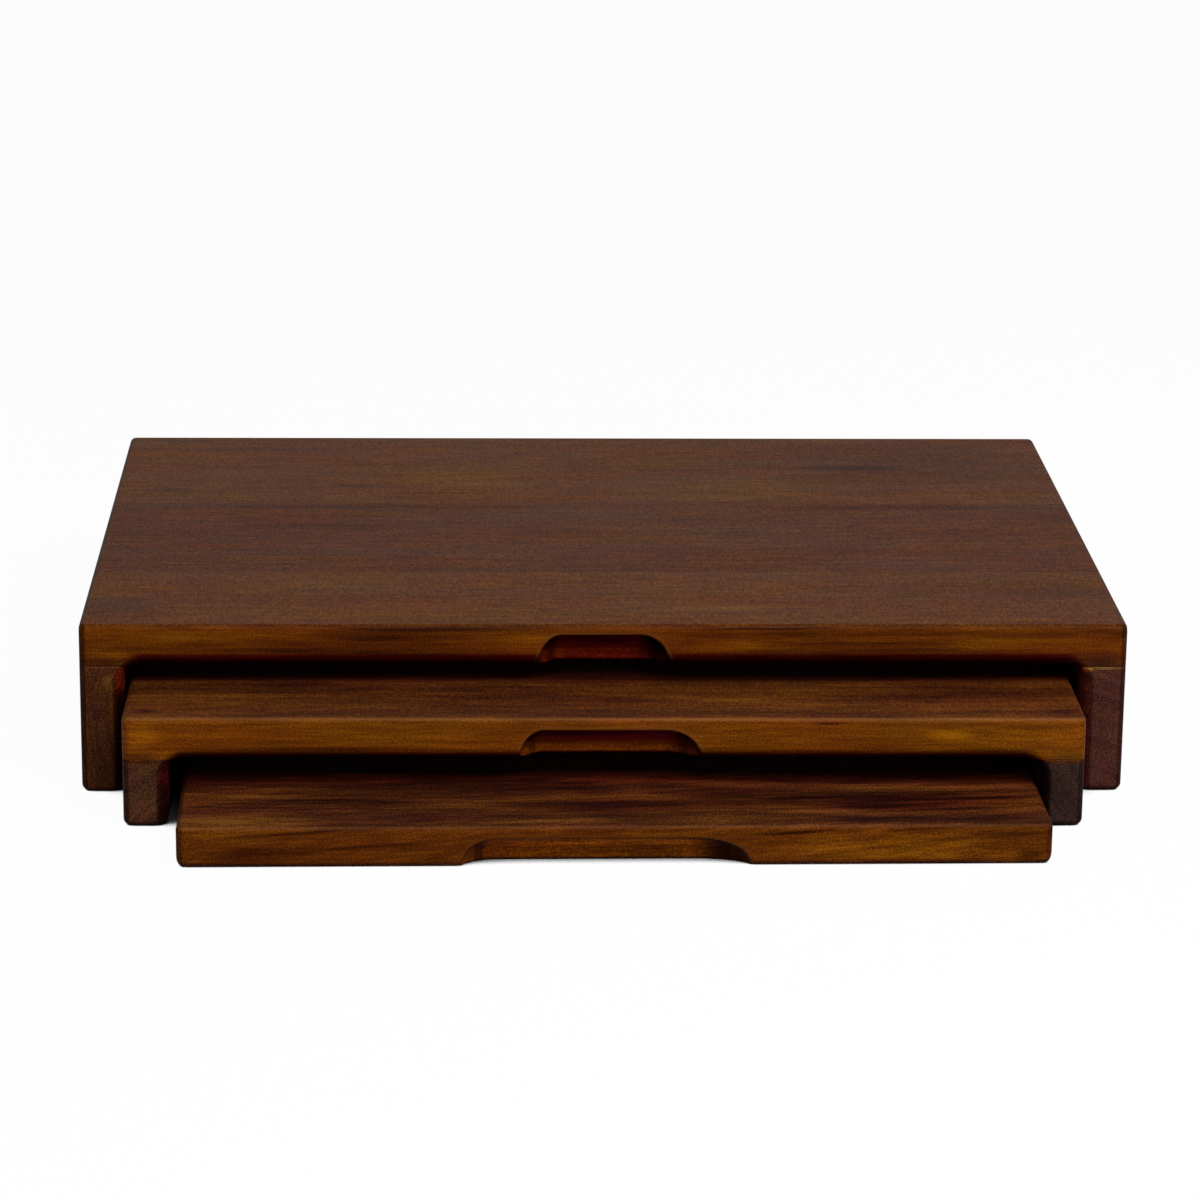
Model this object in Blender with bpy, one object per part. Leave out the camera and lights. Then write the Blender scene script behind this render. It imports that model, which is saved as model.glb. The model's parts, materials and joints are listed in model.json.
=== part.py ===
# A nest of three wooden serving boards. The outer and the middle board stand on two side legs and
# bridge the next board down, and the inner board is a plain slab. Each board is glued up from three
# staves, whose grain runs along X, and has a finger scoop in the lower edge of its front, at -Y.
# Lengths are in metres, +Z is up, and the boards stand on Z = 0 as drawn forward in steps.

from collections import namedtuple
from math import asin, cos, pi, radians, sin

import bmesh
import bpy
from mathutils import Vector

# Boards, from the inner one outwards
inner_board_width = 0.367
board_depth = 0.330
inner_board_thickness = 0.018
tray_board_thickness = 0.019
leg_thickness = 0.019
side_clearance = 0.0035
headroom_over_inner = 0.012
headroom_over_middle = 0.0082

# How far the two smaller boards are drawn forward, and how they stand askew in their clearance
middle_draw = 0.0466
inner_draw = 0.0966
middle_shift_share = -0.20
inner_shift_share = 0.10
middle_skew_share = -0.14
inner_skew_share = 0.45

# Rounding of the edges
corner_radius = 0.0035
top_edge_radius = 0.002
foot_edge_radius = 0.003
mouth_edge_radius = 0.006
mouth_corner_radius = 0.008
edge_steps = 3
corner_steps = 4
mouth_steps = 5
mouth_corner_steps = 6

# Joints between the staves, from the front, as shares of the board's depth
outer_joint_shares = (0.255, 0.612)
middle_joint_shares = (0.330, 0.700)
inner_joint_shares = (0.290, 0.640)

# Finger scoops: the length along the board, the length of each rounded end, the wood left over the
# scoop, and how far it was cut off the middle of its board, as a share of the board's width
outer_scoop_length = 0.058
outer_scoop_end = 0.011
outer_wood_over_scoop = 0.0048
outer_scoop_shift_share = 0
middle_scoop_length = 0.079
middle_scoop_end = 0.012
middle_wood_over_scoop = 0.006
middle_scoop_shift_share = 0.006
inner_scoop_length = 0.121
inner_scoop_end = 0.016
inner_wood_over_scoop = 0.006
inner_scoop_shift_share = -0.011
scoop_depth = 0.008
scoop_ring_points = 32
scoop_end_steps = 6

# Hidden dowels between the legs and the staves
dowel_diameter = 0.008
dowel_length_in_leg = 0.019
wood_over_dowel = 0.008
dowel_side_gap = 0.0002
dowel_end_gap = 0.0003
dowel_chamfer = 0.001
dowel_sides = 16

# Overrun of every cut past the face that it opens, and the bend in degrees above which an edge is sharp
overrun = 0.002
sharp_edge_degrees = 40

# Sizes that follow from the ones above
middle_leg_height = inner_board_thickness + headroom_over_inner
middle_height = middle_leg_height + tray_board_thickness
outer_leg_height = middle_height + headroom_over_middle
outer_height = outer_leg_height + tray_board_thickness
middle_width = inner_board_width + 2 * (side_clearance + leg_thickness)
outer_width = middle_width + 2 * (side_clearance + leg_thickness)
middle_shift = middle_shift_share * side_clearance
inner_shift = inner_shift_share * side_clearance
middle_skew = asin(middle_skew_share * side_clearance / (board_depth / 2))
inner_skew = asin(inner_skew_share * side_clearance / (board_depth / 2))

# The origin lies under the middle of the whole nest: the inner board's nearer front corner is the
# foremost point, and the outer board's back is the rearmost
inner_reach = (
    (board_depth / 2 - corner_radius) * cos(inner_skew)
    + (inner_board_width / 2 - corner_radius) * sin(inner_skew)
    + corner_radius
)
outer_centre_y = (inner_draw + inner_reach - board_depth / 2) / 2

# One board of the nest. Its bottom is the height of its underside, 0 for the board without legs
Board = namedtuple("Board", "name frame width bottom thickness joint_shares scoop colours")
Scoop = namedtuple("Scoop", "length end wood_over shift_share")


def remove_everything():
    for item in list(bpy.data.objects):
        bpy.data.objects.remove(item, do_unlink=True)


def wood(name, colour, roughness):
    material = bpy.data.materials.new(name)
    material.use_nodes = True
    shader = material.node_tree.nodes["Principled BSDF"]
    shader.inputs["Base Color"].default_value = (*colour, 1)
    shader.inputs["Roughness"].default_value = roughness
    shader.inputs["Metallic"].default_value = 0
    material.diffuse_color = (*colour, 1)
    return material


def loft(rings):
    """A closed mesh through rings of points, with a flat cap on the first and the last."""
    mesh = bmesh.new()
    loops = [[mesh.verts.new(point) for point in ring] for ring in rings]
    for lower, upper in zip(loops, loops[1:]):
        for i in range(len(lower)):
            j = (i + 1) % len(lower)
            mesh.faces.new((lower[i], lower[j], upper[j], upper[i]))
    mesh.faces.new(loops[0])
    mesh.faces.new(loops[-1])
    bmesh.ops.recalc_face_normals(mesh, faces=mesh.faces)
    return mesh


def block_outline(centre_x, width, radii, inset, height):
    """A rectangle's outline seen from above, with its four corner radii from the back right one round."""
    points = []
    for quarter, ((side, way), radius) in enumerate(zip(((1, 1), (-1, 1), (-1, -1), (1, -1)), radii)):
        x = centre_x + side * (width / 2 - max(radius, inset))
        y = way * (board_depth / 2 - max(radius, inset))
        arc = max(radius - inset, 0)
        steps = corner_steps if arc else 0
        for step in range(steps + 1):
            angle = (quarter + (step / steps if steps else 0)) * pi / 2
            points.append((x + arc * cos(angle), y + arc * sin(angle), height))
    return points


def edge_arc(radius, steps):
    """(inset, height) of the points on a rounded edge, from its side face up to its flat."""
    angles = [step / steps * pi / 2 for step in range(steps + 1)]
    return [(radius - radius * cos(angle), radius * sin(angle)) for angle in angles]


def block(centre_x, width, bottom, top, radii, bottom_radius, top_radius):
    """A flat-topped block over the whole depth, with rounded corners and rounded outer edges."""
    lower = [(0, bottom)]
    upper = [(0, top)]
    if bottom_radius:
        arc = edge_arc(bottom_radius, edge_steps)
        lower = [(inset, bottom + bottom_radius - rise) for inset, rise in reversed(arc)]
    if top_radius:
        upper = [(inset, top - top_radius + rise) for inset, rise in edge_arc(top_radius, edge_steps)]
    levels = lower + upper
    return loft([block_outline(centre_x, width, radii, inset, height) for inset, height in levels])


def keep_between(mesh, front, back):
    """Saws the block square across at two places along Y and keeps what lies between."""
    for place, way in ((front, -1), (back, 1)):
        if abs(place) >= board_depth / 2:
            continue
        geometry = mesh.verts[:] + mesh.edges[:] + mesh.faces[:]
        bmesh.ops.bisect_plane(
            mesh, geom=geometry, plane_co=(0, place, 0), plane_no=(0, way, 0), clear_outer=True
        )
        sawn = [edge for edge in mesh.edges if edge.is_boundary]
        for edge in sawn:
            for corner in edge.verts:
                corner.co.y = place
        bmesh.ops.holes_fill(mesh, edges=sawn)
    bmesh.ops.recalc_face_normals(mesh, faces=mesh.faces)
    return mesh


def mouth_outline(half_width, leg_height, offset, y):
    """The tunnel under a board seen from the front, grown by an offset, with its upper corners rounded."""
    centre_x = half_width - mouth_corner_radius
    centre_z = leg_height - mouth_corner_radius
    radius = mouth_corner_radius + offset
    points = [(half_width + offset, y, -overrun)]
    for side, start in ((1, 0), (-1, 1)):
        for step in range(mouth_corner_steps + 1):
            angle = (start + step / mouth_corner_steps) * pi / 2
            points.append((side * centre_x + radius * cos(angle), y, centre_z + radius * sin(angle)))
    points.append((-half_width - offset, y, -overrun))
    return points


def mouth_cutter(board, way):
    """Rounds the edge all round the tunnel's mouth, at the front for a way of -1 or at the back for 1."""
    face = way * board_depth / 2
    half_mouth = board.width / 2 - leg_thickness
    levels = [(-overrun, mouth_edge_radius)]
    for step in range(mouth_steps + 1):
        angle = step / mouth_steps * pi / 2
        depth = mouth_edge_radius - mouth_edge_radius * cos(angle)
        levels.append((depth, mouth_edge_radius - mouth_edge_radius * sin(angle)))
    levels.append((mouth_edge_radius + overrun, -overrun))
    rings = [mouth_outline(half_mouth, board.bottom, offset, face - way * depth) for depth, offset in levels]
    return loft(rings)


def scoop_cutter(board):
    """A long rounded hollow round the lower front edge: an elliptic bar with domed ends."""
    scoop = board.scoop
    centre_x = scoop.shift_share * board.width
    height = board.thickness - scoop.wood_over
    stations = []
    for step in range(scoop_end_steps):
        angle = (step + 1 / 2) / scoop_end_steps * pi / 2
        stations.append((scoop.length / 2 - scoop.end + scoop.end * cos(angle), sin(angle)))
    stations = [(-x, scale) for x, scale in stations] + [(x, scale) for x, scale in reversed(stations)]
    angles = [point / scoop_ring_points * 2 * pi for point in range(scoop_ring_points)]
    rings = []
    for x, scale in stations:
        depths = [scoop_depth * scale * cos(angle) - board_depth / 2 for angle in angles]
        heights = [board.bottom + height * scale * sin(angle) for angle in angles]
        rings.append([(centre_x + x, y, z) for y, z in zip(depths, heights)])
    return loft(rings)


def round_bar(x, y, levels):
    """An upright round bar through (radius, height) levels."""
    angles = [side / dowel_sides * 2 * pi for side in range(dowel_sides)]
    return loft(
        [
            [(x + radius * cos(angle), y + radius * sin(angle), height) for angle in angles]
            for radius, height in levels
        ]
    )


def hole_cutter(x, y, leg_height):
    radius = dowel_diameter / 2 + dowel_side_gap
    bottom = leg_height - dowel_length_in_leg - dowel_end_gap
    top = leg_height + tray_board_thickness - wood_over_dowel + dowel_end_gap
    return round_bar(x, y, ((radius, bottom), (radius, top)))


def dowel(x, y, leg_height):
    radius = dowel_diameter / 2
    bottom = leg_height - dowel_length_in_leg
    top = leg_height + tray_board_thickness - wood_over_dowel
    return round_bar(
        x,
        y,
        (
            (radius - dowel_chamfer, bottom),
            (radius, bottom + dowel_chamfer),
            (radius, top - dowel_chamfer),
            (radius - dowel_chamfer, top),
        ),
    )


def mesh_object(name, mesh):
    data = bpy.data.meshes.new(name)
    mesh.to_mesh(data)
    mesh.free()
    item = bpy.data.objects.new(name, data)
    bpy.context.scene.collection.objects.link(item)
    return item


def cut_away(item, cutters):
    """Takes each cutter out of the item and leaves the result in its mesh."""
    for number, cutter in enumerate(cutters):
        tool = mesh_object(f"{item.name}_cutter_{number}", cutter)
        cut = item.modifiers.new("Cut", "BOOLEAN")
        cut.operation = "DIFFERENCE"
        cut.solver = "EXACT"
        cut.object = tool
        graph = bpy.context.evaluated_depsgraph_get()
        shape = bpy.data.meshes.new_from_object(item.evaluated_get(graph))
        item.modifiers.remove(cut)
        item.data = shape
        bpy.data.objects.remove(tool, do_unlink=True)


def finish(item, frame, colour, roughness):
    item.data.materials.clear()
    item.data.materials.append(wood(f"{item.name}_wood", colour, roughness))
    item.data.shade_smooth()
    item.data.set_sharp_from_angle(angle=radians(sharp_edge_degrees))
    item.parent = frame


def board_frame(name, shift, draw, skew):
    """An empty at the middle of a board's footprint, on the line that the board slides along."""
    frame = bpy.data.objects.new(name, None)
    frame.location = Vector((shift, outer_centre_y - draw, 0))
    frame.rotation_euler = (0, 0, skew)
    bpy.context.scene.collection.objects.link(frame)
    return frame


def stave_spans(board):
    """(place, front, back) of each stave."""
    edges = [-board_depth / 2]
    edges += [(share - 1 / 2) * board_depth for share in board.joint_shares]
    edges += [board_depth / 2]
    return list(zip(("front", "centre", "back"), edges, edges[1:]))


def dowel_places(board):
    """(side, place, x, y) of each dowel: one under the middle of each stave on each leg."""
    return [
        (side, place, way * (board.width - leg_thickness) / 2, (front + back) / 2)
        for side, way in (("left", -1), ("right", 1))
        for place, front, back in stave_spans(board)
    ]


def stave_cutters(board, place):
    """All that is cut away from a stave: its dowel holes, the tunnel's rounded mouth and the scoop."""
    cutters = []
    if board.bottom:
        cutters += [hole_cutter(x, y, board.bottom) for _, over, x, y in dowel_places(board) if over == place]
        cutters += [mouth_cutter(board, way) for way, end in ((-1, "front"), (1, "back")) if end == place]
    if place == "front":
        cutters.append(scoop_cutter(board))
    return cutters


def make_staves(board):
    """The flat of a board, in three staves glued edge to edge."""
    bottom_radius = 0 if board.bottom else foot_edge_radius
    top = board.bottom + board.thickness
    for (place, front, back), colour in zip(stave_spans(board), board.colours):
        slab = block(0, board.width, board.bottom, top, (corner_radius,) * 4, bottom_radius, top_edge_radius)
        item = mesh_object(f"{board.name}_stave_{place}", keep_between(slab, front, back))
        cut_away(item, stave_cutters(board, place))
        finish(item, board.frame, colour, board_roughness)


def make_legs(board):
    """The two side legs under a board, with a dowel from each leg into each stave."""
    places = dowel_places(board)
    for side, way in (("left", -1), ("right", 1)):
        outward = [corner_radius if way * corner > 0 else 0 for corner in (1, -1, -1, 1)]
        centre_x = way * (board.width - leg_thickness) / 2
        leg = block(centre_x, leg_thickness, 0, board.bottom, outward, foot_edge_radius, 0)
        item = mesh_object(f"{board.name}_leg_{side}", leg)
        cutters = [hole_cutter(x, y, board.bottom) for leg_side, _, x, y in places if leg_side == side]
        cutters += [mouth_cutter(board, end) for end in (-1, 1)]
        cut_away(item, cutters)
        finish(item, board.frame, leg_colour, leg_roughness)
    for side, place, x, y in places:
        item = mesh_object(f"{board.name}_dowel_{side}_{place}", dowel(x, y, board.bottom))
        finish(item, board.frame, dowel_colour, dowel_roughness)


# Colours and roughness of the oiled wood
outer_colours = ((0.105, 0.043, 0.022), (0.089, 0.038, 0.023), (0.107, 0.046, 0.022))
middle_colours = ((0.120, 0.046, 0.014), (0.098, 0.040, 0.018), (0.112, 0.044, 0.016))
inner_colours = ((0.100, 0.038, 0.015), (0.112, 0.044, 0.017), (0.092, 0.036, 0.017))
leg_colour = (0.050, 0.020, 0.011)
dowel_colour = (0.420, 0.240, 0.110)
board_roughness = 0.5
leg_roughness = 0.6
dowel_roughness = 0.7


def make_nest():
    outer = Board(
        "outer",
        board_frame("outer_board", 0, 0, 0),
        outer_width,
        outer_leg_height,
        tray_board_thickness,
        outer_joint_shares,
        Scoop(outer_scoop_length, outer_scoop_end, outer_wood_over_scoop, outer_scoop_shift_share),
        outer_colours,
    )
    middle = Board(
        "middle",
        board_frame("middle_board_slide", middle_shift, middle_draw, middle_skew),
        middle_width,
        middle_leg_height,
        tray_board_thickness,
        middle_joint_shares,
        Scoop(middle_scoop_length, middle_scoop_end, middle_wood_over_scoop, middle_scoop_shift_share),
        middle_colours,
    )
    inner = Board(
        "inner",
        board_frame("inner_board_slide", inner_shift, inner_draw, inner_skew),
        inner_board_width,
        0,
        inner_board_thickness,
        inner_joint_shares,
        Scoop(inner_scoop_length, inner_scoop_end, inner_wood_over_scoop, inner_scoop_shift_share),
        inner_colours,
    )
    for board in (outer, middle, inner):
        make_staves(board)
        if board.bottom:
            make_legs(board)
    print(f"outer board {outer_width:.3f} x {board_depth:.3f} x {outer_height:.4f} m")


remove_everything()
make_nest()
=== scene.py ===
import json
from functools import partialmethod
from math import cos, pi, radians, sin

import bmesh
import bpy
import numpy as np
from mathutils import Matrix, Vector

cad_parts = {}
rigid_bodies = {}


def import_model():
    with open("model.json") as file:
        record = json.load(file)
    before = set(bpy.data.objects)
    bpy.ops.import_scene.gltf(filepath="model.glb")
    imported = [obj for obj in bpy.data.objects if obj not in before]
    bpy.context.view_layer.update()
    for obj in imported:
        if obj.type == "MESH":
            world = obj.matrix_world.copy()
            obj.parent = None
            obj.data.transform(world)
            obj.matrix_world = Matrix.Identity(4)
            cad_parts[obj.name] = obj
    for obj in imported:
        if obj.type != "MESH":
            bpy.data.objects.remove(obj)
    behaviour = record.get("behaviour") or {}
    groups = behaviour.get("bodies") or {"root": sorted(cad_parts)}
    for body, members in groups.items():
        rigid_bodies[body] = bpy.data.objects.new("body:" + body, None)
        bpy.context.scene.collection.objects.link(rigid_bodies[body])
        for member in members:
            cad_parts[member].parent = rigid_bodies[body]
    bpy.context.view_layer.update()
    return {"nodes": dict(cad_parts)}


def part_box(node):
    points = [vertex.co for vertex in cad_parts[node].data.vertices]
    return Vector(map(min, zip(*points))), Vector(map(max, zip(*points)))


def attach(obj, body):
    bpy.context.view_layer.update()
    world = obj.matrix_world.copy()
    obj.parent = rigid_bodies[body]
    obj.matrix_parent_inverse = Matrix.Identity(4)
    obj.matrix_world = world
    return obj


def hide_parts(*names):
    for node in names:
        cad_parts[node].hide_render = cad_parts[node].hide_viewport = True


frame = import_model()
for startupItem in [item for item in bpy.data.objects if item.name in ("Cube", "Light", "Camera")]:
    bpy.data.objects.remove(startupItem, do_unlink=True)
scene = bpy.context.scene
print("frame loaded with", len(frame["nodes"]), "nodes")


# A wire is one socket of a node, and sums on wires add their Math nodes
class Wire:
    def __init__(self, tree, socket):
        self.tree = tree
        self.socket = socket

    def math(self, operation, *others):
        return self.tree.node("ShaderNodeMath", {"operation": operation}, dict(enumerate((self, *others))))

    def __rsub__(self, other):
        return self.tree.node("ShaderNodeMath", {"operation": "SUBTRACT"}, {0: other, 1: self})

    __add__ = __radd__ = partialmethod(math, "ADD")
    __sub__ = partialmethod(math, "SUBTRACT")
    __mul__ = __rmul__ = partialmethod(math, "MULTIPLY")
    __truediv__ = partialmethod(math, "DIVIDE")
    __pow__ = partialmethod(math, "POWER")
    __abs__ = partialmethod(math, "ABSOLUTE")
    atLeast = partialmethod(math, "MAXIMUM")
    atMost = partialmethod(math, "MINIMUM")
    below = partialmethod(math, "LESS_THAN")
    above = partialmethod(math, "GREATER_THAN")

    def between(self, low, high):  # 0 at low, 1 at high, eased
        return self.tree.node(
            "ShaderNodeMapRange", {"interpolation_type": "SMOOTHSTEP"}, {0: self, 1: low, 2: high, 3: 0, 4: 1}
        )

    def masked(self, name):
        return self.between(*masks[name])

    def share(self, start, steps):  # 0 up to start, then rising to 1 over the steps
        return ((self - start) / steps).atLeast(0).atMost(1)


class Tree:
    def __init__(self, nodeTree):
        self.nodes = nodeTree.nodes
        self.links = nodeTree.links

    def node(self, kind, settings=None, inputs=None, output=0):
        made = self.nodes.new(kind)
        for name, value in (settings or {}).items():
            setattr(made, name, value)
        for name, value in (inputs or {}).items():
            self.plug(made.inputs[name], value)
        return Wire(self, made.outputs[output])

    def grow(self, kind, inputs=None, settings=None):
        return self.node("GeometryNode" + kind, settings, inputs)

    def plug(self, socket, value):
        if isinstance(value, Wire):
            self.links.new(value.socket, socket)
        else:
            socket.default_value = value

    def ramp(self, wire, stops):
        made = self.node("ShaderNodeValToRGB", inputs={0: wire})
        elements = made.socket.node.color_ramp.elements
        while len(elements) < len(stops):
            elements.new(1)
        for element, (place, colour) in zip(elements, stops):
            element.position = place
            element.color = (*colour, 1)
        return made

    def finish(self, kind, socket, wire):  # the output node, with one wire plugged in
        self.plug(self.nodes.new(kind).inputs[socket], wire)

    def mix(self, first, second, factor, blend="MIX"):  # two colours
        return self.node(
            "ShaderNodeMix", {"data_type": "RGBA", "blend_type": blend}, {0: factor, 6: first, 7: second}, 2
        )

    def tint(self, colour, tint, factor):  # a colour times a tint
        return self.mix(colour, (*tint, 1), factor, "MULTIPLY")

    def noise(self, place, detail, roughness=0.5, scale=1):
        inputs = {"Vector": place, "Scale": scale, "Detail": detail, "Roughness": roughness}
        return self.node("ShaderNodeTexNoise", inputs=inputs)

    def vector(self, operation, *inputs, output=0):
        return self.node("ShaderNodeVectorMath", {"operation": operation}, dict(enumerate(inputs)), output)

    def length(self, wire):
        return self.vector("LENGTH", wire, output=1)

    def join(self, x, y, z):
        return self.node("ShaderNodeCombineXYZ", inputs={0: x, 1: y, 2: z})

    def split(self, wire):
        sockets = self.node("ShaderNodeSeparateXYZ", inputs={0: wire}).socket.node.outputs
        return [Wire(self, socket) for socket in sockets]

    def moved(self, shape, place):
        return self.grow("SetPosition", {"Geometry": shape, "Position": place})

    def near(self, place, centre, size, full, end):  # 1 well inside a soft ellipsoid, 0 outside it
        off = self.vector("DIVIDE", self.vector("SUBTRACT", place, centre), size)
        return 1 - self.length(off).between(full, end)


def linear(*colour):  # from a colour as a paint program gives it, 0 to 255
    return tuple(((c / 255 + 0.055) / 1.055) ** 2.4 if c > 10 else c / 255 / 12.92 for c in colour)


# The wood is one solid pattern that every cut goes through, as in real timber. Each noise has its
# length and width in mm, what it adds to the piece's seed, its detail and its roughness
grain = {
    "wobble": (150, 40, 3.1, 2.0, 0.5),
    "ragged": (26, 5, 2.2, 2.0, 0.5),
    "fibres": (26, 1.5, 7.7, 3.0, 0.6),
    "streaks": (48, 4.2, 9.4, 4.0, 0.65),
    "clouds": (95, 20, 1.3, 2.0, 0.55),
    "hues": (90, 20, 6.6, 2.0, 0.6),
    "pores": (2.6, 0.42, 5.9, 1.0, 0.5),
    "rings": (900, 4.0, 0.62),  # these have no width, and the specks no seed
    "specks": ((0.8, 2.2, 0.75), 2.0),
    "fineOnTop": 1.3,  # how much stronger fibres and specks are on a flat top than on a face
    "toneStops": (0.14, 0.46, 0.66, 0.92),
    "markWobble": (26, 8, 0),  # mm by which the marks follow the wobble and the ragged noise
    "markRagged": (14, 3, 0.9),
    "markEdge": (0.15, 1.1),
    "patchEnd": 1.05,
    "hueShare": 0.6,
    "rosy": (1.04, 0.9, 1.3),
    "golden": (1.0, 1.2, 0.95),
    "poreTint": (0.5, 0.42, 0.5),
    # The tint of the darker rounded side and back edges
    "sideEdgeDarkTint": (0.3, 0.25, 0.3),
    "glueTint": (0.5, 0.42, 0.45),
    "glueShare": 0.3,
    # Painted shade as a flat nears the board above, and under it
    "nearAboveShadeTint": (0.9, 0.84, 0.8),
    "arcTint": (0.4, 0.3, 0.35),
    "arcShare": 0.7,
    # The share of the painted highlight along a scoop's rim
    "rimHighlightShare": 0.4,
    "roughness": 0.52,
    "bump": 0.00012,
    "bumpStrength": 0.6,
}

masks = {  # where each goes from nothing to full, with lengths in mm
    "upright": (0.9, 0.25),
    "flat": (0.5, 0.9),
    "pores": (0.58, 0.74),
    "hues": (0.34, 0.66),
    "glue": (0.9, 0.1),
    "wearHighlightTilt": (0.01, 0.22),
    "wearHighlightUp": (0.1, 0.5),
    "wearHighlightFront": (0.2, 0.5),
    "sideEdgeDarkTilt": (0.001, 0.05),
    "sideEdgeDarkFacing": (0.04, 0.3),
    "under": (0.1, 0.6),
    "inside": (0.1, 0.6),
    "gapLit": (-0.22, 0.05),
    "lowEdge": (0.3, -0.05),
    "besideLegs": (1, -8),
    "coveredFrom": (2, 12),
    "coveredUpTo": (75, 40),
    "nearAboveShade": (-34, 2),
    "hollowStart": (0.4, 1.4),
    "hollowEnd": (1.25, 1.06),
    "ceilingPaintedLight": (0.42, 0.8),
    "pastEnd": (0, 0.5),
    "rightEndPaintedShade": (-0.3, 0.35),
    "leftEndPaintedLight": (-0.5, 0.5),
    "arcPlace": (0, 0.3),
    "arcs": (0.5, 0.6),
    "paintedLightDashes": (0.5, 0.64),
    "rimSize": (0.1, 0.03),
    "rimFace": (1.1, 0.5),
    "rimHeight": (2, 5),
}

plainLook = {  # what a piece has when its own look says nothing else
    "drift": 0,
    "rise": 0,
    "tone": 0.5,
    "warmth": 0.2,
    # The next two are the shares of a painted highlight with some wear on the upper front edges and of the
    # darker rounded side and back edges
    "wearAndHighlightShare": 0.3,
    "sideEdgeDarkShare": 0.8,
    "poreShare": 0.5,
    "topContrast": 1,
    "frontContrast": 1,
    # Painted light and shade: tints for the upright faces, for the faces that look down and for a leg's side
    # that looks at the next board, and a lit strip near that side's top
    "uprightPaintedLight": (1, 1, 1),
    "undersidePaintedShade": (0.4, 0.25, 0.25),
    "innerFacePaintedLight": (1, 1, 1),
    "gapPaintedLight": {"from": 0, "to": 1, "tint": (1, 1, 1)},
    "marks": (),
    "patches": (),
    "joints": (),
}


class Wood:  # one piece's timber as wires, in mm from the middle of its board
    def __init__(self, tree, look, board):
        self.tree = tree
        self.seed = look["seed"]
        place = tree.node("ShaderNodeTexCoord", output="Object")
        place = {"Vector": place, "Location": (*board["centre"], 0), "Rotation": (0, 0, board["turn"])}
        place = tree.node("ShaderNodeMapping", {"vector_type": "TEXTURE"}, place)
        self.x, self.y, self.up = (wire * 1000 for wire in tree.split(place))
        self.place = tree.join(self.x, self.y, self.up)
        self.along, sideways = (self.x, self.y) if look["grainAlong"] == "x" else (self.y, self.x)
        self.across = sideways - self.along * look["drift"]
        self.level = self.up - self.along * look["rise"]
        normal = tree.node("ShaderNodeTexCoord", output="Normal")
        self.normalX, self.normalY, self.normalZ = tree.split(normal)
        self.upright = abs(self.normalZ).masked("upright")
        self.wobble = self.noise("wobble") - 0.5
        self.ragged = self.noise("ragged") - 0.5
        self.fibres = self.noise("fibres")
        self.streaks = self.noise("streaks")
        self.clouds = self.noise("clouds")
        self.poreMask = self.noise("pores").masked("pores")
        size, detail = grain["specks"]
        self.specks = tree.noise(tree.vector("DIVIDE", self.place, size), detail)
        self.rings = self.ringNoise(look)

    def noise(self, name):
        length, width, offset, detail, roughness = grain[name]
        shift = self.seed + offset
        place = self.tree.join(self.along / length + shift, self.across / width, self.level / width + shift)
        return self.tree.noise(place, detail, roughness)

    def ringNoise(self, look):
        length, detail, roughness = grain["rings"]
        pithAcross, pithLevel = look["pith"]
        fromPith = ((self.across - pithAcross) ** 2 + (self.level - pithLevel) ** 2).math("SQRT")
        ring = (fromPith + self.wobble * look["wobble"]) / look["ringWidth"]
        return self.tree.noise(self.tree.join(ring, self.along / length, self.seed), detail, roughness)


def toneAndWarmth(tree, look, wood):
    bands = (
        (wood.rings - 0.5) * look["ringShare"]
        + (wood.streaks - 0.5) * look["streakShare"]
        + (wood.clouds - 0.5) * look["cloudShare"]
    )
    fine = (wood.fibres - 0.5) * look["fibreShare"] + (wood.specks - 0.5) * look["speckleShare"]
    contrast = wood.upright * (look["frontContrast"] - look["topContrast"]) + look["topContrast"]
    fineness = grain["fineOnTop"] - wood.upright * (grain["fineOnTop"] - 1)
    tone = bands * contrast + fine * fineness + look["tone"]
    warmth = wood.noise("hues").masked("hues") * grain["hueShare"] + look["warmth"]
    # The smoky and golden marks waver with the grain
    lines = (wood.along, wood.across, wood.level)
    follow = zip(lines, grain["markWobble"], grain["markRagged"])
    bent = tree.join(*(line + wood.wobble * wobble + wood.ragged * ragged for line, wobble, ragged in follow))
    # Most marks are tone in the wood; one on the outer left leg is painted light
    for (x, y, up), size, lighter, warmer in look["marks"]:
        first, second = (x, y) if look["grainAlong"] == "x" else (y, x)
        centre = (first, second - first * look["drift"], up - first * look["rise"])
        near = tree.near(bent, centre, size, *grain["markEdge"])
        tone = tone + near * (wood.fibres + 0.5) * lighter
        if warmer:
            warmth = warmth + near * warmer
    return tone, warmth.atMost(1).atLeast(0)


def paintedEdgeAndCoverShade(tree, colour, look, board, wood):
    # Painted shade on the rounded lower edge of a board's front and back, a painted shadow on the flat that
    # the board above covers, and painted shade that deepens as the flat nears that board
    height = wood.up - board["bottom"] * 1000
    mouth = (board["width"] / 2 - legThickness) * 1000
    # Painted shade on the rounded lower edge, ended beside the legs
    low = (1 - height.between(*look["lowEdge"])) * wood.normalZ.masked("lowEdge")
    if board["legs"]:
        low = low * (abs(wood.x) - mouth).masked("besideLegs")
    if board["shown"]:
        # Painted shadow on the flat that the board above covers, and painted shade that deepens as the flat
        # nears that board
        behind = wood.y + (depth / 2 - board["shown"]) * 1000 + wood.fibres * 3
        flat = wood.normalZ.masked("flat")
        coveredPaintedShade = behind.masked("coveredFrom") * (behind + wood.clouds * 30).masked("coveredUpTo")
        colour = tree.tint(colour, look["coveredPaintedShade"], coveredPaintedShade * flat)
        colour = tree.tint(colour, grain["nearAboveShadeTint"], behind.masked("nearAboveShade") * flat)
    if not look["scooped"]:
        return tree.tint(colour, look["lowEdgePaintedShade"], low)
    return scoopRingsAndPaintedLight(tree, colour, look, board["scoop"], wood, height, low)


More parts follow.
